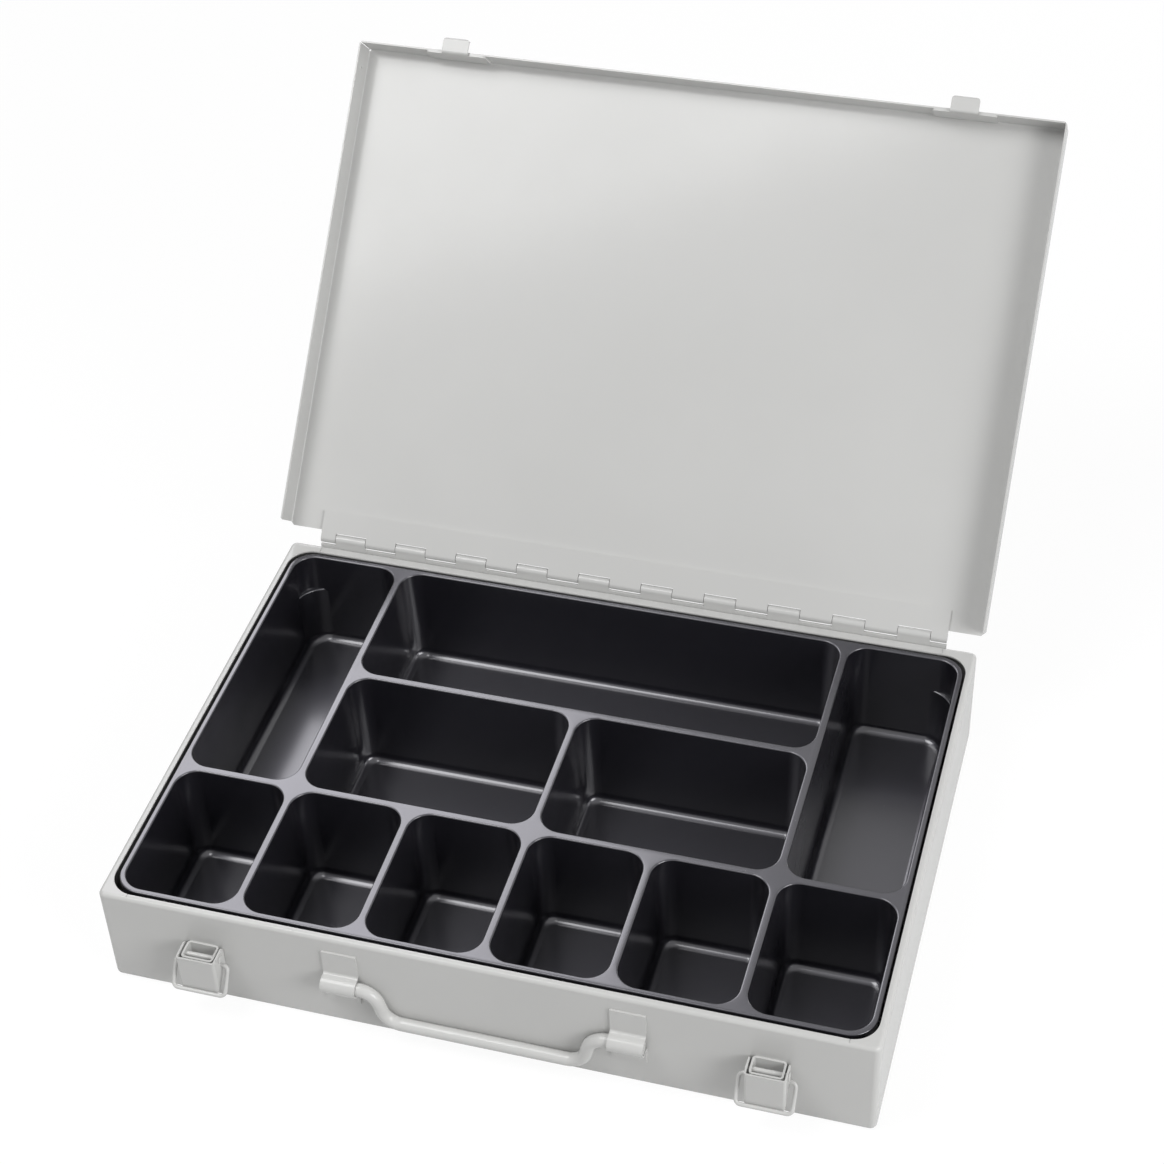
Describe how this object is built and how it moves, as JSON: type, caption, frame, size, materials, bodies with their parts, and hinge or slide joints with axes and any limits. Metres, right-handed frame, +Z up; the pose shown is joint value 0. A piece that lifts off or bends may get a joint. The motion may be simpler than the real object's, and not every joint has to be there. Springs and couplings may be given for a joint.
{
  "type": "steel compartment box",
  "caption": "Shallow folded-steel case with a hinged lid, two toggle latches, a drop handle and a removable moulded compartment insert.",
  "frame": {"origin": "centre of the case's flat underside", "axes": "+X to the right along the front, +Y from the front to the hinge at the back, +Z up"},
  "size_m": [0.457, 0.5551, 0.3298],
  "materials": {
    "grey_enamel": "semi-gloss light grey enamel",
    "black_plastic": "semi-gloss black moulded plastic"
  },
  "bodies": {
    "tray": {"body_shell": "grey_enamel", "hinge_leaf_body": "grey_enamel", "hinge_pin": "grey_enamel", "latch_tube_left": "grey_enamel", "latch_tube_right": "grey_enamel", "latch_pin_left": "grey_enamel", "latch_pin_right": "grey_enamel", "handle_bracket_left": "grey_enamel", "handle_bracket_right": "grey_enamel"},
    "lid": {"lid_shell": "grey_enamel", "hinge_leaf_lid": "grey_enamel", "lid_catch_left": "grey_enamel", "lid_catch_right": "grey_enamel"},
    "lever_left": {"latch_lever_left": "grey_enamel"},
    "lever_right": {"latch_lever_right": "grey_enamel"},
    "bail_left": {"latch_bail_left": "grey_enamel"},
    "bail_right": {"latch_bail_right": "grey_enamel"},
    "handle": {"carry_handle": "grey_enamel"},
    "insert": {"compartment_insert": "black_plastic"}
  },
  "joints": [
    {"name": "lid_hinge", "type": "hinge", "parent": "tray", "child": "lid", "pos_m": [0, 0.1606, 0.0755], "axis": [-1, 0, 0], "range_deg": [-133.5, 0]},
    {"name": "latch_lever_left_pivot", "type": "hinge", "parent": "tray", "child": "lever_left", "pos_m": [0, -0.164, 0.0423], "axis": [1, 0, 0], "range_deg": [-100, 0]},
    {"name": "latch_lever_right_pivot", "type": "hinge", "parent": "tray", "child": "lever_right", "pos_m": [0, -0.164, 0.0423], "axis": [1, 0, 0], "range_deg": [-100, 0]},
    {"name": "latch_bail_left_pivot", "type": "hinge", "parent": "lever_left", "child": "bail_left", "pos_m": [0, -0.1631, 0.0367], "axis": [-1, 0, 0], "range_deg": [0, 155]},
    {"name": "latch_bail_right_pivot", "type": "hinge", "parent": "lever_right", "child": "bail_right", "pos_m": [0, -0.1631, 0.0367], "axis": [-1, 0, 0], "range_deg": [0, 155]},
    {"name": "carry_handle_pivot", "type": "hinge", "parent": "tray", "child": "handle", "pos_m": [0, -0.16185, 0.038], "axis": [-1, 0, 0], "range_deg": [0, 165]},
    {"name": "insert_lift", "type": "slide", "parent": "tray", "child": "insert", "axis": [0, 0, 1], "range_m": [0, 0.1]}
  ]
}
